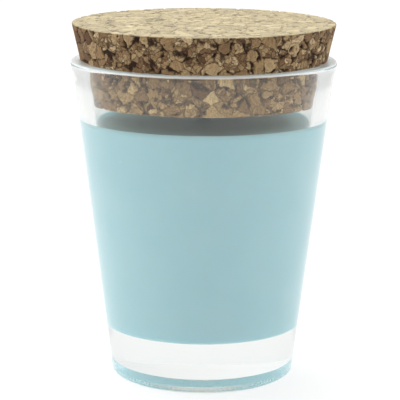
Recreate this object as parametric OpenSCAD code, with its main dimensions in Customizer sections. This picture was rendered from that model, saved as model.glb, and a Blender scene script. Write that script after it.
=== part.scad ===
// Small poured candle in a tapered pressed glass, closed by a tapered stopper of granulated cork.
// The origin is the centre of the foot, on the surface that the glass stands on, and +Z is up.

/* [Glass] */
// Height of the glass, from the foot to the crest of the lip
glass_h = 60.4; // [57:0.1:66]
// Widest outside diameter, on the bead at the lip
rim_d = 50; // [48:0.1:54]
// Outside diameter that the tapered wall would have level with the foot
foot_d = 34.2; // [33:0.1:38]
// Thickness of the wall, measured level
wall_t = 3.05; // [2.5:0.05:3.6]
// How far the bead at the lip stands out from the tapered wall
bead_out = 0.25; // [0.1:0.05:0.6]
// Height of the bead, below the widest part of the lip
bead_run = 4.5; // [2:0.5:8]
// Radius of the outer edge of the lip
lip_outer = 0.6; // [0.4:0.1:1.2]
// Radius of the inner edge of the lip
lip_inner = 0.4; // [0.3:0.1:0.8]
// Thickness of the solid base, from the foot to the floor inside
base_t = 9.6; // [7:0.1:13]
// Radius of the corner between the floor and the wall inside
floor_fillet = 0.6; // [0.3:0.1:2.5]
// Radius of the outside corner at the foot
foot_fillet = 1.6; // [0.5:0.1:1.8]
// Inside diameter of the flat ring that the glass stands on
ring_d = 27; // [22:0.5:28]
// Depth of the recess under the base, at its centre
recess_h = 2.4; // [1.5:0.1:3]
// Height of the steep edge of the recess
recess_edge = 1; // [0.5:0.1:1.2]
// Width of the slope between the steep edge and the middle of the recess
recess_slope = 2; // [1:0.1:3]

/* [Wax and wick] */
// Diameter of the round braided wick
wick_d = 2.2; // [1.4:0.1:3]
// Length of wick left standing out of the wax
wick_stub = 2.6; // [1:0.1:2.8]
// Diameter of the steel tab that holds the wick upright
tab_d = 16; // [12:0.5:20]
// Thickness of the tab's sheet steel
tab_t = 0.3; // [0.2:0.05:0.5]
// Height of the neck that is crimped round the wick
neck_h = 4; // [2.5:0.5:6]
// Diameter of the adhesive dot that holds the tab to the floor
dot_d = 13; // [10:0.5:16]
// Thickness of the adhesive dot
dot_t = 0.8; // [0.4:0.1:1.5]

/* [Cork stopper] */
// How deep the cork reaches into the glass, below the crest of the lip
plug_depth = 7.6; // [5:0.1:12]
// How far the cork stands above the lip
cork_stand = 7; // [3:0.1:12]
// Height of the free space between the cork and the wax
head_gap = 3.3; // [3.2:0.1:8]
// Diameter of the cork where it swells out over the lip
cork_neck_d = 46.4; // [45:0.1:47]
// Diameter of the cork's top
cork_top_d = 49.6; // [48:0.1:52]
// Clearance between the cork and the glass
cork_gap = 0.15; // [0.1:0.05:0.3]
// Width of the worn edge around the cork's top and bottom
cork_edge = 0.15; // [0.1:0.05:0.5]

/* [Hidden] */
$fn = 96;
arc_steps = 10;   // straight steps along each rounded stretch of an outline

// Outside wall: a straight taper from the foot to the bead
lip_z = glass_h - lip_outer;    // height of the widest point
wall_r = rim_d / 2 - bead_out;
taper = (wall_r - foot_d / 2) / lip_z;
bead_start = lip_z - bead_run;
function outer_r(z) = foot_d / 2 + taper * z;
function inner_r(z) = outer_r(z) - wall_t;

// Lip: level on top, round on the bead outside and on the edge of the bore inside
crest_r = rim_d / 2 - lip_outer;
edge_z = glass_h - lip_inner;
edge_r = inner_r(edge_z) + lip_inner;

// Corner circles that touch both the level surface and the tapered wall
lean = atan(taper);
foot_c = outer_r(foot_fillet) - foot_fillet / cos(lean);
floor_c = inner_r(base_t + floor_fillet) - floor_fillet / cos(lean);

// Recess under the base: a steep edge, a slope and a nearly level middle
recess_draft = recess_edge / 2;                           // how far the steep edge leans in
slope_r = ring_d / 2 - recess_draft;                      // radius where the slope begins
middle_r = slope_r - recess_slope;
middle_z = recess_edge + 0.8 * (recess_h - recess_edge);

// Cork: follows the bore, swells over the lip and tapers out to its top
cork_z = glass_h - plug_depth;
cork_top_z = glass_h + cork_stand;
swell_z = glass_h + cork_gap;
cork_taper = (cork_top_d - cork_neck_d) / 2 / (cork_top_z - swell_z);

// Wax fills the glass to below the cork, and the wick, tab and dot stand on the floor inside
wax_top = cork_z - head_gap;
wick_top = wax_top + wick_stub;
tab_z = base_t + dot_t;
neck_t = 0.35;    // thickness of the crimped neck's wall

// Points on a circle of radius r about [cx, cz], from angle a to angle b
function bend(cx, cz, r, a, b) =
    [for (i = [0 : arc_steps]) let (t = a + (b - a) * i / arc_steps) [cx + r * cos(t), cz + r * sin(t)]];

// Space inside the glass from the floor up to a level, as a half outline
function cavity_to(z) = concat(
    [[0, base_t]],
    bend(floor_c, base_t + floor_fillet, floor_fillet, -90, -lean),
    [[inner_r(z), z], [0, z]]
);

glass_outline = concat(
    [[0, recess_h], [middle_r, middle_z], [slope_r, recess_edge], [ring_d / 2, 0]],
    bend(foot_c, foot_fillet, foot_fillet, -90, -lean),
    [[outer_r(bead_start), bead_start]],
    bend(crest_r, lip_z, lip_outer, -30, 90),
    bend(edge_r, edge_z, lip_inner, 90, 180),
    bend(floor_c, base_t + floor_fillet, floor_fillet, -lean, -90),
    [[0, base_t]]
);

cork_outline = concat(
    [[0, cork_z], [inner_r(cork_z) - cork_gap - cork_edge, cork_z]],
    [[inner_r(cork_z + cork_edge) - cork_gap, cork_z + cork_edge]],
    bend(edge_r, edge_z, lip_inner + cork_gap, 180, 90),
    [[cork_neck_d / 2 - cork_edge, swell_z], [cork_neck_d / 2 + cork_taper * cork_edge, swell_z + cork_edge]],
    [[cork_top_d / 2 - cork_taper * cork_edge, cork_top_z - cork_edge]],
    [[cork_top_d / 2 - cork_edge, cork_top_z], [0, cork_top_z]]
);

// One pressed piece: thick base, tapered wall and rounded lip
module glass() {
    color([0.9, 0.95, 0.95, 0.35])
        rotate_extrude() polygon(glass_outline);
}

// Poured wax, set hard around the wick, its tab and the dot
module wax_fill() {
    color([0.6, 0.74, 0.77])
        difference() {
            rotate_extrude() polygon(cavity_to(wax_top));
            translate([0, 0, base_t - 1]) cylinder(d = dot_d, h = dot_t + 1);
            translate([0, 0, tab_z]) cylinder(d = tab_d, h = tab_t);
            translate([0, 0, tab_z]) cylinder(d = wick_d + 2 * neck_t, h = neck_h);
            translate([0, 0, tab_z]) cylinder(d = wick_d, h = wax_top);
        }
}

// Round cotton braid, from the tab to just above the wax
module wick() {
    color([0.93, 0.91, 0.85])
        translate([0, 0, tab_z]) cylinder(d = wick_d, h = wick_top - tab_z);
}

// Tinned steel disc with the neck that is crimped round the wick
module wick_tab() {
    color([0.72, 0.73, 0.74])
        translate([0, 0, tab_z]) difference() {
            union() {
                cylinder(d = tab_d, h = tab_t);
                cylinder(d = wick_d + 2 * neck_t, h = neck_h);
            }
            translate([0, 0, -1]) cylinder(d = wick_d, h = neck_h + 2);
        }
}

// Adhesive dot between the tab and the glass floor
module tab_adhesive() {
    color([0.92, 0.92, 0.88])
        translate([0, 0, base_t]) cylinder(d = dot_d, h = dot_t);
}

// Granulated cork, pushed into the mouth until it seats on the lip
module cork_stopper() {
    color([0.76, 0.63, 0.45])
        rotate_extrude() polygon(cork_outline);
}

glass();
wax_fill();
wick();
wick_tab();
tab_adhesive();
cork_stopper();
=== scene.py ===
import math

import bmesh
import bpy
from mathutils import Matrix, Vector


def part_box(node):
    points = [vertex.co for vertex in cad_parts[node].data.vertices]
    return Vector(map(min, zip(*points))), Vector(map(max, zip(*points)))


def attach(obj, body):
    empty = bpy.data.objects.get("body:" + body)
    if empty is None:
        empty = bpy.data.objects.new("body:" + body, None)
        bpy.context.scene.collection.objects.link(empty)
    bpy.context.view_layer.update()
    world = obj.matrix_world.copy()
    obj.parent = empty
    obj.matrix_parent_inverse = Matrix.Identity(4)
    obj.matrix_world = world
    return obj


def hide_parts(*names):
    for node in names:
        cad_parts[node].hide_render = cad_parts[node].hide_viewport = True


mm = 0.001    # the scene is in metres, and the sizes below are in millimetres times this
weldDistance = 1e-6

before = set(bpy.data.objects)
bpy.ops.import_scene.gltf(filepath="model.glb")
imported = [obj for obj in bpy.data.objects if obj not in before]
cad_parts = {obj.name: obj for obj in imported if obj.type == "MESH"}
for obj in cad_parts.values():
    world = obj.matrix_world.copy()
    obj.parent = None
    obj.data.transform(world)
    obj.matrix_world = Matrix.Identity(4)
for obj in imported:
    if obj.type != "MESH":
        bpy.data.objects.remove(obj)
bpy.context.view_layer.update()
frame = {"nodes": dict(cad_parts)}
nodes = frame["nodes"]
glassBody, stopperBody = "candle_glass", "stopper"
print("frame loaded:", ", ".join(nodes))


def radiusAt(name, height):    # level radius of a round node, met from outside
    start = Vector((0.1, 0, height))
    return nodes[name].ray_cast(start, Vector((-1, 0, 0)))[1].x


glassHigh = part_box("glass")[1].z
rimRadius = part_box("glass")[1].x
floorHeight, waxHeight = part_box("wax_fill")[0].z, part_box("wax_fill")[1].z
wickLow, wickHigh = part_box("wick")
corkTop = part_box("cork_stopper")[1].z

lowRing, highRing = 15 * mm, 45 * mm    # two heights where the wall is a plain taper
outerLow, outerHigh = radiusAt("glass", lowRing), radiusAt("glass", highRing)
wallTaper = (outerHigh - outerLow) / (highRing - lowRing)
footRadius = outerLow - wallTaper * lowRing
wallThick = outerLow - radiusAt("wax_fill", lowRing)
lean = math.atan(wallTaper)


def outerRadius(height):
    return footRadius + wallTaper * height


def innerRadius(height):
    return outerRadius(height) - wallThick


def arc(centreX, centreZ, radius, fromDegrees, toDegrees, steps):
    points = []
    for step in range(steps + 1):
        turn = math.radians(fromDegrees + (toDegrees - fromDegrees) * step / steps)
        points.append((centreX + radius * math.cos(turn), centreZ + radius * math.sin(turn)))
    return points


def rounded(corners, steps=8):    # corners: (radius from the axis, height, size of the round)
    points = []
    for index, (x, z, size) in enumerate(corners):
        here = Vector((x, z))
        if size == 0:
            points.append(tuple(here))
            continue
        before = (Vector(corners[index - 1][:2]) - here).normalized()
        after = (Vector(corners[(index + 1) % len(corners)][:2]) - here).normalized()
        half = before.angle(after) / 2
        reach = size / math.tan(half)
        straight = 1.3 * reach    # a point here keeps the straight stretch beside the round flat
        centre = here + (before + after).normalized() * size / math.sin(half)
        fromAngle, toAngle = ((here + way * reach - centre) for way in (before, after))
        fromAngle = math.degrees(math.atan2(fromAngle.y, fromAngle.x))
        toAngle = math.degrees(math.atan2(toAngle.y, toAngle.x))
        turn = (toAngle - fromAngle + 180) % 360 - 180
        points.append(tuple(here + before * straight))
        points += arc(centre.x, centre.y, size, fromAngle, fromAngle + turn, steps)
        points.append(tuple(here + after * straight))
    return points


def lathe(bm, outline, steps, closed=False):    # outline: (radius, height) points, spun about Z
    verts = [bm.verts.new((x, 0, z)) for x, z in outline]
    edges = [bm.edges.new(pair) for pair in zip(verts, verts[1:])]
    if closed:
        edges.append(bm.edges.new((verts[-1], verts[0])))
    bmesh.ops.spin(bm, geom=verts + edges, cent=(0, 0, 0), axis=(0, 0, 1), angle=math.tau,
                   steps=steps, use_merge=True)
    bmesh.ops.remove_doubles(bm, verts=bm.verts, dist=weldDistance)
    bmesh.ops.recalc_face_normals(bm, faces=bm.faces)


def makePiece(name, bm, body, materials, replaced=()):
    mesh = bpy.data.meshes.new(name)
    bm.to_mesh(mesh)
    bm.free()
    piece = bpy.data.objects.new(name, mesh)
    bpy.context.collection.objects.link(piece)
    mesh.shade_smooth()
    for material in materials:
        mesh.materials.append(material)
    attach(piece, body)
    if replaced:
        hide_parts(*replaced)
    print("made", name, len(mesh.polygons), "faces")
    return piece


def newMaterial(name):
    material = bpy.data.materials.new(name)
    material.use_nodes = True
    tree = material.node_tree
    tree.nodes.clear()
    out = tree.nodes.new("ShaderNodeOutputMaterial")
    return material, tree, out


def put(tree, kind, inputs=(), **settings):    # adds a node; inputs maps a socket to a value or an output
    node = tree.nodes.new(kind)
    for key, value in settings.items():
        setattr(node, key, value)
    for key, value in dict(inputs).items():
        socket = node.inputs[key]
        if isinstance(value, bpy.types.NodeSocket):
            tree.links.new(value, socket)
        else:
            socket.default_value = value
    return node


def mathNode(tree, operation, first, second=0.0):
    return put(tree, "ShaderNodeMath", {0: first, 1: second}, operation=operation).outputs[0]


def times(tree, first, second):
    return mathNode(tree, "MULTIPLY", first, second)


def larger(tree, first, second):
    return mathNode(tree, "MAXIMUM", first, second)


def vectorNode(tree, operation, first, second=(0, 0, 0)):
    return put(tree, "ShaderNodeVectorMath", {0: first, 1: second}, operation=operation).outputs[0]


def scaled(tree, vector, factor):
    node = put(tree, "ShaderNodeVectorMath", {0: vector, "Scale": factor}, operation="SCALE")
    return node.outputs[0]


def ranged(tree, value, fromLow, fromHigh, toLow=0.0, toHigh=1.0):    # eased from one range to another
    values = {0: value, 1: fromLow, 2: fromHigh, 3: toLow, 4: toHigh}
    return put(tree, "ShaderNodeMapRange", values, interpolation_type="SMOOTHSTEP").outputs[0]


def splitNode(tree, vector):
    return put(tree, "ShaderNodeSeparateXYZ", {0: vector}).outputs


def mixColour(tree, factor, first, second, blend="MIX"):
    node = tree.nodes.new("ShaderNodeMix")
    node.data_type = "RGBA"
    node.blend_type = blend
    for socket, value in zip((node.inputs[0], node.inputs[6], node.inputs[7]), (factor, first, second)):
        if isinstance(value, bpy.types.NodeSocket):
            tree.links.new(value, socket)
        elif socket.type == "RGBA":
            socket.default_value = (*value[:3], 1)
        else:
            socket.default_value = value
    return node.outputs[2]


def mixValue(tree, factor, first, second):
    node = tree.nodes.new("ShaderNodeMix")
    for socket, value in zip(node.inputs, (factor, None, first, second)):
        if isinstance(value, bpy.types.NodeSocket):
            tree.links.new(value, socket)
        elif value is not None:
            socket.default_value = value
    return node.outputs[0]


def ramp(tree, factor, stops):    # stops: (position, (red, green, blue)) in linear light
    node = put(tree, "ShaderNodeValToRGB", {0: factor})
    elements = node.color_ramp.elements
    while len(elements) < len(stops):
        elements.new(0.5)
    for element, (position, colour) in zip(elements, stops):
        element.position = position
        element.color = (*colour, 1)
    return node.outputs[0]


def scaledColour(colour, factor):
    return tuple(part * factor for part in colour)


def placeInMm(tree):    # the object's own coordinates, in millimetres
    return scaled(tree, put(tree, "ShaderNodeTexCoord").outputs["Object"], 1 / mm)


def noise(tree, vector, scale, detail=2.0, roughness=0.5, colour=False):
    values = {"Vector": vector, "Scale": scale, "Detail": detail, "Roughness": roughness}
    node = put(tree, "ShaderNodeTexNoise", values)
    return node.outputs[1 if colour else 0]


cameraSpec = {
    "distance": 394.7 * mm,
    "height": 112.6 * mm,
    "lookDown": 11.34,    # degrees
    "roll": -0.34,
    "lens": 190.5,
    "shiftX": -0.0136,
}


def makeCamera(spec):
    data = bpy.data.cameras.new("camera")
    camera = bpy.data.objects.new("camera", data)
    bpy.context.collection.objects.link(camera)
    data.lens = spec["lens"]
    data.sensor_width = 36
    data.shift_x = spec["shiftX"]
    data.clip_start, data.clip_end = 0.01, 20
    camera.location = (0, -spec["distance"], spec["height"])
    camera.rotation_euler = (math.radians(90 - spec["lookDown"]), math.radians(spec["roll"]), 0)
    bpy.context.scene.camera = camera


makeCamera(cameraSpec)
print("camera placed")


# granulated cork: one pattern drives both the relief and the colour
corkSpec = {
    "voxel": 0.2 * mm,
    "keepFaces": 0.62,
    "bigPerMm": 0.4,         # granules of about 2.5 mm
    "smallPerMm": 0.95,      # and crumbs of about 1 mm
    "driftPerMm": 0.5,
    "warp": 0.9,             # how far granules stray from even cells, in mm
    "crumbShare": 0.42,
    "crumbShade": 0.66,
    "gapePerMm": 0.42,       # how fast seams change from tight to gaping
    "gapeFrom": 0.44,
    "gapeTo": 0.66,
    "seamWide": 0.085,       # half the width of a seam between granules, in mm
    "voidWide": 0.42,        # and where the seam gapes
    "seamShade": 0.78,       # a tight seam is a brown joint, and the near black where a seam gapes is painted shade
    "seamDeep": 0.1,
    "voidDeep": 0.5,
    "cornerPerMm": 0.3,      # corners where granules don't meet
    "cornerFrom": 0.93,
    "cornerMore": 0.12,
    "pitDeep": 0.6,
    "pits": [                # per mm, how rare, how wide in cells, how strong
        (0.5, 0.6, 0.42, 1.0),
        (1.15, 0.5, 0.3, 0.5),
    ],
    "liftDeep": 0.06,        # how far whole granules sink
    "gritPerMm": 2.6,
    "gritDeep": 0.07,
    "gritFloor": 0.04,
    "sandedDeep": 0.3,       # share of the depth that is left on the sanded top
    "sandedFrom": 0.16,      # how far below the top the sanding fades out and is full, in mm
    "sandedTo": 0.03,
    "seatDeep": 0.25,        # share of the depth that is left where the cork is pressed on the lip
    "seatFrom": 0.2,         # how far from the lip that is so, and where it ends, in mm
    "seatTo": 0.8,
    "seatDrop": 0.12 * mm,   # how far the pressed edge settles towards the lip
    "seatLow": 0.1 * mm,     # heights above the lip between which its points lie
    "seatHigh": 0.35 * mm,
    "palette": [
        (0.0, (0.11, 0.05, 0.022)),
        (0.08, (0.19, 0.105, 0.047)),
        (0.35, (0.275, 0.17, 0.08)),
        (0.6, (0.35, 0.23, 0.112)),
        (0.85, (0.44, 0.305, 0.158)),
        (1.0, (0.58, 0.43, 0.25)),
    ],
    "grainAxis": (0.4, 0.7, 0.6),
    "grainTurn": 12.0,       # the most that a granule's grain is turned, in radians
    "grainStretch": (0.5, 3.2, 3.2),
    "grainDark": 0.76,
    "grainLight": 1.16,
    "specklePerMm": 4.0,
    "speckleDark": 0.7,
    "speckleLight": 1.2,
    "fleckStretch": (0.9, 2.4, 2.4),
    "fleckShare": 0.55,
    "fleck": (0.12, 0.06, 0.028),
    # the sanded top is paler, and this pale colour also paints the sheen and strong light on the top
    "sandedPaleAndSheenColour": (0.485, 0.447, 0.256),
    "paleAndSheenShare": 0.5,
    "sandedCrack": 0.7,
    "plugPaintedLight": (1.36, 1.29, 1.1),    # painted light: the plug below the lip is made lighter and warmer, standing in for light it lacks behind the glass
    "plugCrack": 0.72,
    # dark joints, and painted shade in gaps, corners and pits
    "jointAndShadeColour": (0.024, 0.01, 0.004),
    "crackShare": 0.96,
    "bumpPerMm": 6.0,
    "bumpDeep": 0.08 * mm,
    "roughness": 0.88,
    "sandedRoughness": 0.6,
    "specular": 0.4,
}


def corkSeams(tree, bent, spec):    # seeds and distances to edge and middle, for granules and for crumbs
    seeds, edges, reaches = [], [], []
    for scale in (spec["bigPerMm"], spec["smallPerMm"]):
        values = {"Vector": bent, "Scale": scale}
        cell = put(tree, "ShaderNodeTexVoronoi", values)
        edge = put(tree, "ShaderNodeTexVoronoi", values, feature="DISTANCE_TO_EDGE")
        seeds.append(splitNode(tree, cell.outputs["Color"]))
        edges.append(mathNode(tree, "DIVIDE", edge.outputs["Distance"], scale))
        reaches.append(cell.outputs["Distance"])
    return seeds, edges, reaches


def corkPits(tree, bent, spec):    # a few wide pits and many small ones
    pits = []
    for perMm, rare, wide, strength in spec["pits"]:
        pore = put(tree, "ShaderNodeTexVoronoi", {"Vector": bent, "Scale": perMm})
        seed = splitNode(tree, pore.outputs["Color"])[0]
        poreWide = ranged(tree, seed, rare, 1.0, 0.001, wide)
        share = mathNode(tree, "DIVIDE", pore.outputs["Distance"], poreWide)
        pits.append(times(tree, ranged(tree, share, 0.5, 1.0, 1.0, 0.0), strength))
    return larger(tree, *pits)


def corkPattern(tree, place, spec):    # place in millimetres; gives granule seeds, masks and a depth in mm
    drift = noise(tree, place, spec["driftPerMm"], 3.0, 0.6, colour=True)
    drift = scaled(tree, vectorNode(tree, "SUBTRACT", drift, (0.5, 0.5, 0.5)), 2 * spec["warp"])
    bent = vectorNode(tree, "ADD", place, drift)
    seeds, edges, reaches = corkSeams(tree, bent, spec)
    crumbs = mathNode(tree, "LESS_THAN", seeds[0][0], spec["crumbShare"])
    ownSeed = mixValue(tree, crumbs, seeds[0][1], seeds[1][1])
    otherSeed = mixValue(tree, crumbs, seeds[0][2], seeds[1][2])

    tight, wide = spec["seamWide"], spec["voidWide"]
    gapes = noise(tree, place, spec["gapePerMm"], 3.0, 0.6)
    gape = ranged(tree, gapes, spec["gapeFrom"], spec["gapeTo"], tight, wide)
    seam = ranged(tree, mathNode(tree, "DIVIDE", edges[0], gape), 0.3, 1.0, 1.0, 0.0)
    crumbEdge = mathNode(tree, "DIVIDE", edges[1], tight)
    crumbSeam = times(tree, ranged(tree, crumbEdge, 0.2, 1.3, spec["crumbShade"], 0.0), crumbs)
    more = ranged(tree, noise(tree, place, spec["cornerPerMm"], 2.0), 0.4, 0.6, 0.0, spec["cornerMore"])
    corner = ranged(tree, mathNode(tree, "ADD", reaches[0], more), spec["cornerFrom"], 1.0)
    seam = larger(tree, seam, corner)
    shade = larger(tree, ranged(tree, gape, tight, wide, spec["seamShade"], 1.0), corner)
    crack = larger(tree, times(tree, seam, shade), crumbSeam)
    pit = corkPits(tree, bent, spec)

    voids = ranged(tree, gape, tight, wide, spec["seamDeep"], spec["voidDeep"])
    voids = larger(tree, voids, times(tree, corner, 0.8 * spec["voidDeep"]))
    deep = times(tree, seam, voids)
    deep = larger(tree, deep, times(tree, crumbSeam, spec["seamDeep"]))
    deep = larger(tree, deep, times(tree, pit, spec["pitDeep"]))
    grit = times(tree, noise(tree, place, spec["gritPerMm"], 3.0), spec["gritDeep"])
    rough = mathNode(tree, "ADD", times(tree, otherSeed, spec["liftDeep"]), grit)
    rough = larger(tree, mathNode(tree, "SUBTRACT", rough, spec["gritFloor"]), 0.0)

    height = splitNode(tree, place)[2]
    top, lip = corkTop / mm, glassHigh / mm
    sanded = ranged(tree, height, top - spec["sandedFrom"], top - spec["sandedTo"])
    plug = ranged(tree, height, lip - 0.3, lip, 1.0, 0.0)
    fromLip = mathNode(tree, "ABSOLUTE", mathNode(tree, "SUBTRACT", height, lip))
    depth = mathNode(tree, "ADD", deep, rough)
    depth = times(tree, depth, mixValue(tree, sanded, 1.0, spec["sandedDeep"]))
    seat = ranged(tree, fromLip, spec["seatFrom"], spec["seatTo"], spec["seatDeep"], 1.0)
    depth = times(tree, depth, seat)
    return {
        "seed": ownSeed,
        "otherSeed": otherSeed,
        "crack": crack,
        "pit": pit,
        "depth": depth,
        "sanded": sanded,
        "plug": plug,
    }


def corkRelief(spec):    # geometry nodes: keeps each point's first place, then sinks the cracks and pits
    tree = bpy.data.node_groups.new("cork relief", "GeometryNodeTree")
    for way in ("INPUT", "OUTPUT"):
        tree.interface.new_socket("Geometry", in_out=way, socket_type="NodeSocketGeometry")
    start = tree.nodes.new("NodeGroupInput")
    end = tree.nodes.new("NodeGroupOutput")
    place = tree.nodes.new("GeometryNodeInputPosition").outputs[0]
    normal = tree.nodes.new("GeometryNodeInputNormal").outputs[0]
    inputs = {"Geometry": start.outputs[0], "Name": "firstPlace"}
    keep = put(tree, "GeometryNodeStoreNamedAttribute", inputs, data_type="FLOAT_VECTOR", domain="POINT")
    tree.links.new(place, keep.inputs["Value"])
    pattern = corkPattern(tree, scaled(tree, place, 1 / mm), spec)
    push = scaled(tree, normal, times(tree, pattern["depth"], -mm))
    move = put(tree, "GeometryNodeSetPosition", {"Geometry": keep.outputs[0], "Offset": push})
    tree.links.new(move.outputs[0], end.inputs[0])
    return tree


def corkMaterial(spec):
    material, tree, out = newMaterial("granulated cork")
    first = put(tree, "ShaderNodeAttribute", attribute_name="firstPlace")
    place = scaled(tree, first.outputs["Vector"], 1 / mm)
    pattern = corkPattern(tree, place, spec)
    sanded, plug = pattern["sanded"], pattern["plug"]
    granule = ramp(tree, pattern["seed"], spec["palette"])

    angle = times(tree, pattern["otherSeed"], spec["grainTurn"])    # each granule's grain runs its own way
    turn = {"Vector": place, "Angle": angle, "Axis": spec["grainAxis"]}
    turned = put(tree, "ShaderNodeVectorRotate", turn).outputs[0]
    grainPlace = vectorNode(tree, "MULTIPLY", turned, spec["grainStretch"])
    grain = noise(tree, grainPlace, 1.0, 2.0)
    grain = ranged(tree, grain, 0.3, 0.7, spec["grainDark"], spec["grainLight"])
    speckle = noise(tree, place, spec["specklePerMm"], 4.0, 0.75)
    speckle = ranged(tree, speckle, 0.3, 0.72, spec["speckleDark"], spec["speckleLight"])
    tone = times(tree, grain, speckle)
    tint = put(tree, "ShaderNodeCombineColor", {0: tone, 1: tone, 2: tone}).outputs[0]
    toned = mixColour(tree, 1.0, granule, tint, "MULTIPLY")
    fleckPlace = vectorNode(tree, "MULTIPLY", turned, spec["fleckStretch"])
    fleck = ranged(tree, noise(tree, fleckPlace, 1.0, 1.0), 0.63, 0.7, 0.0, spec["fleckShare"])
    flecked = mixColour(tree, fleck, toned, spec["fleck"])

    # the sanded top is paler; this mix also paints the top's sheen and strong light
    pale = mixColour(tree, times(tree, sanded, spec["paleAndSheenShare"]), flecked, spec["sandedPaleAndSheenColour"])
    # painted light: the plug below the lip is made lighter and warmer
    plugBrightened = mixColour(tree, plug, pale, mixColour(tree, 1.0, pale, spec["plugPaintedLight"], "MULTIPLY"))
    # seams are dark joints; the near black in gaps, corners and pits is painted shade in these hollows
    jointAndShadeMask = larger(tree, times(tree, pattern["crack"], spec["crackShare"]), pattern["pit"])
    jointAndShadeMask = times(tree, jointAndShadeMask, mixValue(tree, sanded, 1.0, spec["sandedCrack"]))
    jointAndShadeMask = times(tree, jointAndShadeMask, mixValue(tree, plug, 1.0, spec["plugCrack"]))
    grain = noise(tree, place, spec["bumpPerMm"], 3.0, 0.7)
    bump = put(tree, "ShaderNodeBump", {"Strength": 0.5, "Distance": spec["bumpDeep"], "Height": grain})
    cork = put(tree, "ShaderNodeBsdfPrincipled", {
        "Base Color": mixColour(tree, jointAndShadeMask, plugBrightened, spec["jointAndShadeColour"]),
        "Roughness": mixValue(tree, sanded, spec["roughness"], spec["sandedRoughness"]),
        "Specular IOR Level": spec["specular"],
        "Normal": bump.outputs[0],
    })
    tree.links.new(cork.outputs[0], out.inputs["Surface"])
    return material


def finishModifiers(piece):    # makes what the modifiers show the piece's own mesh
    graph = bpy.context.evaluated_depsgraph_get()
    made = bpy.data.meshes.new_from_object(piece.evaluated_get(graph), depsgraph=graph)
    materials = list(piece.data.materials)
    piece.modifiers.clear()
    piece.data = made
    made.materials.clear()
    for material in materials:
        made.materials.append(material)
    made.shade_smooth()
    print("finished", piece.name, len(made.polygons), "faces")


def makeCork(spec):
    bm = bmesh.new()
    bm.from_mesh(nodes["cork_stopper"].data)
    bmesh.ops.remove_doubles(bm, verts=bm.verts, dist=weldDistance)
    for vert in bm.verts:    # only the points of the edge that is pressed on the lip
        if spec["seatLow"] < vert.co.z - glassHigh < spec["seatHigh"]:
            vert.co.z -= spec["seatDrop"]
    materials = [corkMaterial(spec)]
    cork = makePiece("cork_stopper_body", bm, stopperBody, materials, ["cork_stopper"])
    remesh = cork.modifiers.new("even faces", "REMESH")
    remesh.mode = "VOXEL"
    remesh.voxel_size = spec["voxel"]
    relief = cork.modifiers.new("relief", "NODES")
    relief.node_group = corkRelief(spec)
    thin = cork.modifiers.new("thin out", "DECIMATE")
    thin.ratio = spec["keepFaces"]
    finishModifiers(cork)


makeCork(corkSpec)


glassSpec = {
    "steps": 480,
    "lipOuter": 0.6 * mm,
    "lipInner": 0.4 * mm,
    "beadOut": 0.25 * mm,
    "beadRun": 4.5 * mm,       # how far below the lip's widest point the bead begins
    "beadSteps": 14,
    "footRound": 1.6 * mm,
    "floorRound": 0.6 * mm,
    "ringInner": 13.5 * mm,    # the glass stands on a flat ring, around a recess
    "ringRound": 0.3 * mm,
    "recessEdge": 1.0 * mm,
    "recessDraft": 0.5 * mm,
    "recessSlope": 2.0 * mm,
    "slopeShare": 0.8,         # share of the recess's height that the slope takes
    "slopeRound": 1.2 * mm,
    "edgeRound": 0.25 * mm,
    "ribs": 96,                # fine ribs where the slope of the recess begins
    "ribDepth": 0.09 * mm,
    "ribLow": 0.4 * mm,
    "ribHigh": 1.8 * mm,
    "ribIn": 0.8 * mm,
    "ribOut": 0.4 * mm,
    "tint": (0.80, 0.816, 0.802),
    "roughness": 0.03,
    "index": 1.52,
    "dullHigh": 0.3 * mm,      # the crest is dulled by the cork that rubs on it, and its pale, half clear finish paints a highlight line along it
    "dullHighlightTint": (0.93, 0.915, 0.89),
    "dullRoughness": 0.35,
    "dullClearness": 0.5,
    "veil": (0.97, 0.98, 0.975),
}
slopeStart = glassSpec["ringInner"] - glassSpec["recessDraft"]    # radius where the slope begins


def glassOutline(spec):
    recessHigh = nodes["glass"].ray_cast(Vector((0, 0, -mm)), Vector((0, 0, 1)))[1].z
    edge, share = spec["recessEdge"], spec["slopeShare"]
    slopeEnd, slopeTop = slopeStart - spec["recessSlope"], edge + share * (recessHigh - edge)
    lipZ = glassHigh - spec["lipOuter"]
    crest = rimRadius - spec["lipOuter"]
    beadStart = lipZ - spec["beadRun"]
    points = rounded([
        (0, recessHigh, 0),
        (slopeEnd, slopeTop, spec["slopeRound"]),
        (slopeStart, edge, spec["edgeRound"]),
        (spec["ringInner"], 0, spec["ringRound"]),
        (footRadius, 0, spec["footRound"]),
        (outerRadius(beadStart), beadStart, 0),
    ])
    beadEnd = lipZ - spec["lipOuter"] * math.sin(lean)
    for step in range(1, spec["beadSteps"]):    # eased out from the wall
        share = step / spec["beadSteps"]
        height = beadStart + (beadEnd - beadStart) * share
        points.append((outerRadius(height) + spec["beadOut"] * share * share * (3 - 2 * share), height))
    points += arc(crest, lipZ, spec["lipOuter"], -math.degrees(lean), 90, 18)
    points += rounded([
        (crest, glassHigh, 0),
        (innerRadius(glassHigh), glassHigh, spec["lipInner"]),
        (innerRadius(floorHeight), floorHeight, spec["floorRound"]),
        (0, floorHeight, 0),
    ])
    return points


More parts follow.
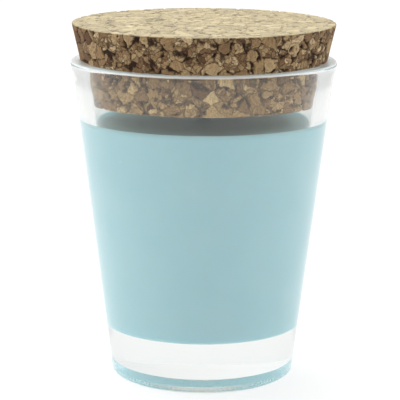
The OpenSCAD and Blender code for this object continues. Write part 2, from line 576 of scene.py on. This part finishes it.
def glassMaterial(name, spec, colour, roughness, clearness):
    material, tree, out = newMaterial(name)
    path = tree.nodes.new("ShaderNodeLightPath")
    clear = put(tree, "ShaderNodeBsdfPrincipled", {
        "Base Color": (*colour, 1),
        "Roughness": roughness,
        "IOR": spec["index"],
        "Transmission Weight": clearness,
    })
    veil = put(tree, "ShaderNodeBsdfTransparent", {"Color": (*spec["veil"], 1)})
    soft = tree.nodes.new("ShaderNodeMixShader")    # soft light and shade pass straight through
    hard = tree.nodes.new("ShaderNodeMixShader")
    for mixer, ray, through in ((soft, "Is Diffuse Ray", clear), (hard, "Is Shadow Ray", soft)):
        tree.links.new(path.outputs[ray], mixer.inputs[0])
        tree.links.new(through.outputs[0], mixer.inputs[1])
        tree.links.new(veil.outputs[0], mixer.inputs[2])
    tree.links.new(hard.outputs[0], out.inputs["Surface"])
    return material


def makeGlass(spec):
    bm = bmesh.new()
    lathe(bm, glassOutline(spec), spec["steps"])
    for vert in bm.verts:
        reach = math.hypot(vert.co.x, vert.co.y)
        inBand = slopeStart - spec["ribIn"] < reach < slopeStart + spec["ribOut"]
        if inBand and spec["ribLow"] < vert.co.z < spec["ribHigh"]:
            turn = math.atan2(vert.co.y, vert.co.x)
            uneven = 0.6 - 0.4 * math.sin(5 * turn)    # deeper on some sides than on others
            push = 1 + spec["ribDepth"] / reach * uneven * math.cos(spec["ribs"] * turn)
            vert.co.x *= push
            vert.co.y *= push
    for face in bm.faces:
        if face.calc_center_median().z > glassHigh - spec["dullHigh"]:
            face.material_index = 1
    clear = glassMaterial("clear glass", spec, spec["tint"], spec["roughness"], 1.0)
    dullness = spec["dullRoughness"], spec["dullClearness"]
    # painted highlight: the crest is pale and half clear
    dull = glassMaterial("dulled lip with painted highlight", spec, spec["dullHighlightTint"], *dullness)
    return makePiece("glass_pressed", bm, glassBody, [clear, dull], ["glass"])


makeGlass(glassSpec)


# wick, tab and dot stand on the floor inside, and the wax is poured round them
dotLow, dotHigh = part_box("tab_adhesive")
tabLow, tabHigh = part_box("wick_tab")

wickSpec = {
    "strandsEachWay": 4,
    "strand": 0.3 * mm,        # radius of one strand
    "strandSides": 8,
    "middle": 0.58 * mm,       # radius of the ring that the strands run round
    "weave": 0.22 * mm,        # how far a strand swings in and out as it passes under and over
    "pitch": 7.0 * mm,
    "stepsPerTurn": 28,
    "core": 0.42 * mm,
    "coreSides": 16,
    "cotton": (0.80, 0.76, 0.66),
    "waxed": (0.60, 0.74, 0.74),
}

tabSpec = {
    "steps": 128,
    "sheet": 0.3 * mm,
    "edgeRound": 0.14 * mm,
    "boreRound": 0.1 * mm,
    "neckWall": 0.35 * mm,
    "neckRound": 0.1 * mm,
    "neckFoot": 0.12 * mm,
    "ringAt": 5.2 * mm,        # a stamped ring that stiffens the disc
    "ringHigh": 0.22 * mm,
    "ringFoot": 0.7 * mm,      # half its width at the foot, and on top
    "ringTop": 0.3 * mm,
    "crimps": 4,
    "crimpFrom": 0.35,         # share of the neck's height below the crimps
    "crimpDepth": 0.28 * mm,
    "tin": (0.66, 0.665, 0.67),
    "tinDark": 0.86,
}

dotSpec = {
    "steps": 96,
    "round": 0.25 * mm,
    "bite": 0.08 * mm,         # pressed flat against the glass floor
    "gum": (0.80, 0.80, 0.74),
    "gumDark": 0.9,
}


def makeGrainGroup():    # shared by wax, cotton, tin and gum: a cloudy mask and a fine uneven surface
    group = bpy.data.node_groups.new("surface grain", "ShaderNodeTree")
    vector, value = "NodeSocketVector", "NodeSocketFloat"
    sockets = (
        ("Place", "INPUT", vector),
        ("Per mm", "INPUT", value),
        ("Depth mm", "INPUT", value),
        ("Mask", "OUTPUT", value),
        ("Normal", "OUTPUT", vector),
    )
    for name, way, kind in sockets:
        group.interface.new_socket(name, in_out=way, socket_type=kind)
    start = group.nodes.new("NodeGroupInput").outputs
    end = group.nodes.new("NodeGroupOutput").inputs
    clouds = noise(group, start["Place"], start["Per mm"], 3.0)
    fine = noise(group, start["Place"], times(group, start["Per mm"], 5.0), 3.0)
    depth = times(group, start["Depth mm"], mm)
    bump = put(group, "ShaderNodeBump", {"Strength": 0.6, "Distance": depth, "Height": fine})
    group.links.new(ranged(group, clouds, 0.32, 0.7), end["Mask"])
    group.links.new(bump.outputs[0], end["Normal"])
    return group


grainGroup = makeGrainGroup()


def grainIn(tree, perMm, depth, stretch=None):    # places the shared group; gives its mask and normal
    place = placeInMm(tree)
    if stretch:
        place = vectorNode(tree, "MULTIPLY", place, stretch)
    node = tree.nodes.new("ShaderNodeGroup")
    node.node_tree = grainGroup
    tree.links.new(place, node.inputs["Place"])
    node.inputs["Per mm"].default_value = perMm
    node.inputs["Depth mm"].default_value = depth
    return node.outputs["Mask"], node.outputs["Normal"]


def cottonMaterial(spec):
    material, tree, out = newMaterial("waxed cotton")
    mask, normal = grainIn(tree, 1.1, 0.05, (1, 1, 0.45))
    cotton = put(tree, "ShaderNodeBsdfPrincipled", {
        "Base Color": mixColour(tree, mask, spec["cotton"], spec["waxed"]),
        "Roughness": ranged(tree, mask, 0.0, 1.0, 0.8, 0.45),
        "Normal": normal,
        "Sheen Weight": 0.25,
    })
    tree.links.new(cotton.outputs[0], out.inputs["Surface"])
    return material


def tinMaterial(spec):
    material, tree, out = newMaterial("tinned steel")
    mask, normal = grainIn(tree, 0.5, 0.01)
    tin = put(tree, "ShaderNodeBsdfPrincipled", {
        "Base Color": mixColour(tree, mask, spec["tin"], scaledColour(spec["tin"], spec["tinDark"])),
        "Metallic": 1.0,
        "Roughness": ranged(tree, mask, 0.0, 1.0, 0.24, 0.4),
        "Normal": normal,
    })
    tree.links.new(tin.outputs[0], out.inputs["Surface"])
    return material


def gumMaterial(spec):
    material, tree, out = newMaterial("adhesive gum")
    mask, normal = grainIn(tree, 0.6, 0.03)
    gum = put(tree, "ShaderNodeBsdfPrincipled", {
        "Base Color": mixColour(tree, mask, spec["gum"], scaledColour(spec["gum"], spec["gumDark"])),
        "Roughness": ranged(tree, mask, 0.0, 1.0, 0.5, 0.65),
        "Normal": normal,
    })
    tree.links.new(gum.outputs[0], out.inputs["Surface"])
    return material


def makeStrand(bm, spec, start, hand, length):    # one strand of the braid: a ring swept up a helix
    made = bmesh.ops.create_circle(bm, segments=spec["strandSides"], radius=spec["strand"])["verts"]
    climb = math.atan2(spec["pitch"], math.tau * spec["middle"])
    stand = Matrix.Rotation(math.pi / 2 - climb * hand, 3, "X")
    bmesh.ops.rotate(bm, verts=made, cent=(0, 0, 0), matrix=stand)
    bmesh.ops.translate(bm, verts=made, vec=(spec["middle"], 0, wickLow.z + spec["strand"]))
    bmesh.ops.rotate(bm, verts=made, cent=(0, 0, 0), matrix=Matrix.Rotation(start, 3, "Z"))
    turns = length / spec["pitch"]
    steps = round(turns * spec["stepsPerTurn"])
    ring = list({edge for vert in made for edge in vert.link_edges})
    bmesh.ops.spin(bm, geom=made + ring, axis=(0, 0, 1), cent=(0, 0, 0), dvec=(0, 0, length / steps),
                   angle=math.tau * turns * hand, steps=steps)


def makeWick(spec):
    bm = bmesh.new()
    strands = spec["strandsEachWay"]
    low = wickLow.z + spec["strand"]
    length = wickHigh.z - wickLow.z - 2 * spec["strand"]
    for hand in (1, -1):
        first = len(bm.verts)
        for number in range(strands):
            makeStrand(bm, spec, math.tau * number / strands, hand, length)
        bm.verts.ensure_lookup_table()
        for vert in bm.verts[first:]:    # over one strand of the other hand and under the next
            swing = hand * math.cos(math.tau * strands * (vert.co.z - low) / spec["pitch"])
            outward = Vector((vert.co.x, vert.co.y, 0)).normalized()
            vert.co += outward * spec["weave"] * swing
    core = bmesh.ops.create_cone(bm, cap_ends=True, segments=spec["coreSides"], radius1=spec["core"],
                                 radius2=spec["core"], depth=length)
    bmesh.ops.translate(bm, verts=core["verts"], vec=(0, 0, (wickLow.z + wickHigh.z) / 2))
    bmesh.ops.holes_fill(bm, edges=bm.edges)
    bmesh.ops.recalc_face_normals(bm, faces=bm.faces)
    return makePiece("wick_braid", bm, glassBody, [cottonMaterial(spec)], ["wick"])


def makeTab(spec):
    bm = bmesh.new()
    wick, edge = wickHigh.x, tabHigh.x
    neck = wick + spec["neckWall"]
    low, top = tabLow.z, tabHigh.z
    deck = low + spec["sheet"]
    ringAt, foot, crest = spec["ringAt"], spec["ringFoot"], spec["ringTop"]
    outline = rounded([
        (wick, top, 0.08 * mm),
        (neck, top, spec["neckRound"]),
        (neck, deck, spec["neckFoot"]),
        (ringAt - foot, deck, 0.2 * mm),
        (ringAt - crest, deck + spec["ringHigh"], 0.15 * mm),
        (ringAt + crest, deck + spec["ringHigh"], 0.15 * mm),
        (ringAt + foot, deck, 0.2 * mm),
        (edge, deck, spec["edgeRound"]),
        (edge, low, spec["edgeRound"]),
        (wick, low, spec["boreRound"]),
    ], 5)
    lathe(bm, outline, spec["steps"], closed=True)
    plain = spec["crimpFrom"]
    for vert in bm.verts:    # the neck is nipped in at even angles to grip the wick
        reach = math.hypot(vert.co.x, vert.co.y)
        rise = (vert.co.z - low) / (top - low)
        if reach < neck + 0.01 * mm and rise > plain:
            nip = max(0.0, math.cos(spec["crimps"] * math.atan2(vert.co.y, vert.co.x))) ** 3
            nip *= math.sin(math.pi * min(1.0, (rise - plain) / (1 - plain))) ** 0.5
            vert.co.xy *= 1 - nip * spec["crimpDepth"] / reach
    return makePiece("wick_tab_pressed", bm, glassBody, [tinMaterial(spec)], ["wick_tab"])


def makeDot(spec):
    bm = bmesh.new()
    low, high, edge = dotLow.z - spec["bite"], dotHigh.z, dotHigh.x
    corners = [(0, low, 0), (edge, low, spec["round"]), (edge, high, spec["round"]), (0, high, 0)]
    lathe(bm, rounded(corners, 6), spec["steps"])
    return makePiece("adhesive_dot", bm, glassBody, [gumMaterial(spec)], ["tab_adhesive"])


makeWick(wickSpec)
makeTab(tabSpec)
makeDot(dotSpec)


waxSpec = {
    "steps": 256,
    "bite": 0.04 * mm,         # the wax wets the glass, so its skin lies just inside the glass's surface
    "sink": 0.35 * mm,         # the top sinks below its edge as it sets
    "topSteps": 39,
    "wallCurl": 0.55 * mm,     # how far the meniscus reaches from the wall
    "wickCurl": 0.6 * mm,
    "wickClimb": 1.5,
    "wickBite": 0.85,          # share of the wick's radius where the wax begins
    "colour": (0.43, 0.675, 0.73),
    # painted shade: the top of the wax is darker than its side, for the shade under the cork
    "topShadedColour": (0.33, 0.59, 0.625),
    "blush": (0.50, 0.725, 0.765),
    "blushShare": 0.35,
    "cloudsPerMm": 0.11,
    "grainDeep": 0.03,
    "specksPerMm": 0.22,       # a few small pale bubbles
    "speckRare": 0.6,
    "speckWide": 0.09,
    "speckColour": (0.78, 0.88, 0.89),
    "roughness": 0.7,          # against the glass, where it shows no gloss of its own
    "topRoughness": 0.45,
    "topSpecular": 0.12,
    "bleed": (0.6, 0.9, 1.0),
    "bleedWeight": 0.6,
    "bleedDeep": 2.0 * mm,
}


def waxOutline(spec):
    bite, steps = spec["bite"], spec["topSteps"]
    edge, bore = innerRadius(waxHeight) + bite, spec["wickBite"] * wickHigh.x
    points = []
    for step in range(steps + 1):    # a meniscus at the wall and another round the wick
        reach = bore + (edge - bore) * step / steps
        wall = math.exp(-(edge - reach) / spec["wallCurl"])
        stem = spec["wickClimb"] * math.exp(-max(reach - wickHigh.x, 0) / spec["wickCurl"])
        points.append((reach, waxHeight - spec["sink"] * (1 - wall - stem)))
    neck = wickHigh.x + tabSpec["neckWall"]
    deck = dotHigh.z + tabSpec["sheet"]
    points += rounded([
        (innerRadius(waxHeight - mm) + bite, waxHeight - mm, 0),
        (innerRadius(floorHeight) + bite, floorHeight - bite, glassSpec["floorRound"]),
        (dotHigh.x, floorHeight - bite, 0),
        (dotHigh.x, dotHigh.z, 0),
        (tabHigh.x, dotHigh.z, 0),
        (tabHigh.x, deck, 0),
        (neck, deck, 0),
        (neck, tabHigh.z, 0),
        (bore, tabHigh.z, 0),
    ])
    return points


def waxMaterial(name, spec, main, roughness, specular):
    material, tree, out = newMaterial(name)
    cloud, normal = grainIn(tree, spec["cloudsPerMm"], spec["grainDeep"])
    colour = mixColour(tree, times(tree, cloud, spec["blushShare"]), main, spec["blush"])
    bubble = put(tree, "ShaderNodeTexVoronoi", {"Vector": placeInMm(tree), "Scale": spec["specksPerMm"]})
    seed = splitNode(tree, bubble.outputs["Color"])[0]
    wide = ranged(tree, seed, spec["speckRare"], 1.0, 0.001, spec["speckWide"])
    speck = ranged(tree, mathNode(tree, "DIVIDE", bubble.outputs["Distance"], wide), 0.5, 1.0, 0.5, 0.0)
    wax = put(tree, "ShaderNodeBsdfPrincipled", {
        "Base Color": mixColour(tree, speck, colour, spec["speckColour"]),
        "Roughness": roughness,
        "Specular IOR Level": specular,
        "Subsurface Weight": spec["bleedWeight"],
        "Subsurface Radius": spec["bleed"],
        "Subsurface Scale": spec["bleedDeep"],
        "Normal": normal,
    })
    tree.links.new(wax.outputs[0], out.inputs["Surface"])
    return material


def makeWax(spec):
    bm = bmesh.new()
    lathe(bm, waxOutline(spec), spec["steps"], closed=True)
    against = waxMaterial("wax against glass", spec, spec["colour"], spec["roughness"], 0.0)
    # the wax top is a copy of the wax with painted shade in its colour
    top = waxMaterial("wax top", spec, spec["topShadedColour"], spec["topRoughness"], spec["topSpecular"])
    for face in bm.faces:
        if face.calc_center_median().z > waxHeight - 1.2 * spec["sink"] and face.normal.z > 0.3:
            face.material_index = 1
    return makePiece("wax_poured", bm, glassBody, [against, top], ["wax_fill"])


makeWax(waxSpec)


lightSpec = {
    "front": 0.26,
    "back": 1.02,
    "frontTo": -0.7,           # along Y, where the front's strength ends and the back's begins
    "backFrom": 0.3,
    "above": 1.15,
    "leftGain": 1.2,
    "rightGain": 1.04,
    "seen": 1.05,              # what the camera sees behind the object
    "aim": (0, 0, 30 * mm),
    "lamps": [                 # name, place, size, power, whether it shows in the glass
        ("top lamp", (-0.1, 0.15, 0.7), 0.5, 3.7, True),
        ("left lamp", (-0.5, -0.08, 0.16), 0.12, 0.26, False),
        ("right lamp", (0.45, -0.08, 0.4), 0.25, 0.26, False),
    ],
}

floorSpec = {
    "radius": 2.5,
    "steps": 96,
    "grey": 0.3,
    "glow": 0.66,
    "sideGlow": 0.42,          # the sweep is less lit to either side
    "sideFrom": 0.1,
    "sideTo": 0.3,
}


def makeWorld(spec):
    world = bpy.data.worlds.new("studio")
    bpy.context.scene.world = world
    world.use_nodes = True
    tree = world.node_tree
    tree.nodes.clear()
    way = splitNode(tree, put(tree, "ShaderNodeTexCoord").outputs["Generated"])
    around = ranged(tree, way[1], spec["frontTo"], spec["backFrom"], spec["front"], spec["back"])
    sides = ranged(tree, way[0], -0.9, 0.9, spec["leftGain"], spec["rightGain"])
    above = ranged(tree, way[2], 0.3, 0.85)
    strength = mixValue(tree, above, times(tree, around, sides), spec["above"])
    lit = put(tree, "ShaderNodeBackground", {"Color": (1, 1, 1, 1), "Strength": strength}).outputs[0]
    seen = put(tree, "ShaderNodeBackground", {"Color": (1, 1, 1, 1), "Strength": spec["seen"]}).outputs[0]
    camera = tree.nodes.new("ShaderNodeLightPath").outputs["Is Camera Ray"]
    mixed = put(tree, "ShaderNodeMixShader", {0: camera, 1: lit, 2: seen})
    out = tree.nodes.new("ShaderNodeOutputWorld")
    tree.links.new(mixed.outputs[0], out.inputs[0])


def makeFloor(spec):
    bm = bmesh.new()
    bmesh.ops.create_circle(bm, cap_ends=True, segments=spec["steps"], radius=spec["radius"])
    mesh = bpy.data.meshes.new("floor")
    bm.to_mesh(mesh)
    bm.free()
    floor = bpy.data.objects.new("floor", mesh)
    bpy.context.collection.objects.link(floor)
    material, tree, out = newMaterial("white seamless")
    place = put(tree, "ShaderNodeTexCoord").outputs["Object"]
    across = mathNode(tree, "ABSOLUTE", splitNode(tree, place)[0])
    glow = ranged(tree, across, spec["sideFrom"], spec["sideTo"], spec["glow"], spec["sideGlow"])
    matt = put(tree, "ShaderNodeBsdfDiffuse", {"Color": (*scaledColour((1, 1, 1), spec["grey"]), 1)})
    lit = put(tree, "ShaderNodeEmission", {"Strength": glow})
    both = put(tree, "ShaderNodeAddShader", {0: matt.outputs[0], 1: lit.outputs[0]})
    tree.links.new(both.outputs[0], out.inputs["Surface"])
    mesh.materials.append(material)


def makeLamp(name, place, size, power, shows, aim):
    data = bpy.data.lights.new(name, "AREA")
    data.shape = "DISK"
    data.size = size
    data.energy = power
    lamp = bpy.data.objects.new(name, data)
    bpy.context.collection.objects.link(lamp)
    lamp.location = place
    lamp.rotation_mode = "QUATERNION"
    lamp.rotation_quaternion = (Vector(aim) - Vector(place)).to_track_quat("-Z", "Y")
    lamp.visible_glossy = shows    # a lamp that only fills in leaves no spot in the glass
    lamp.visible_transmission = shows


makeWorld(lightSpec)
makeFloor(floorSpec)
for lamp in lightSpec["lamps"]:
    makeLamp(*lamp, lightSpec["aim"])
print("lights and floor placed")

scene = bpy.context.scene
scene.view_settings.view_transform = "Standard"
scene.cycles.use_denoising = True
scene.cycles.max_bounces = 24
scene.cycles.transmission_bounces = 20
scene.cycles.transparent_max_bounces = 16
scene.cycles.glossy_bounces = 8
scene.cycles.diffuse_bounces = 4
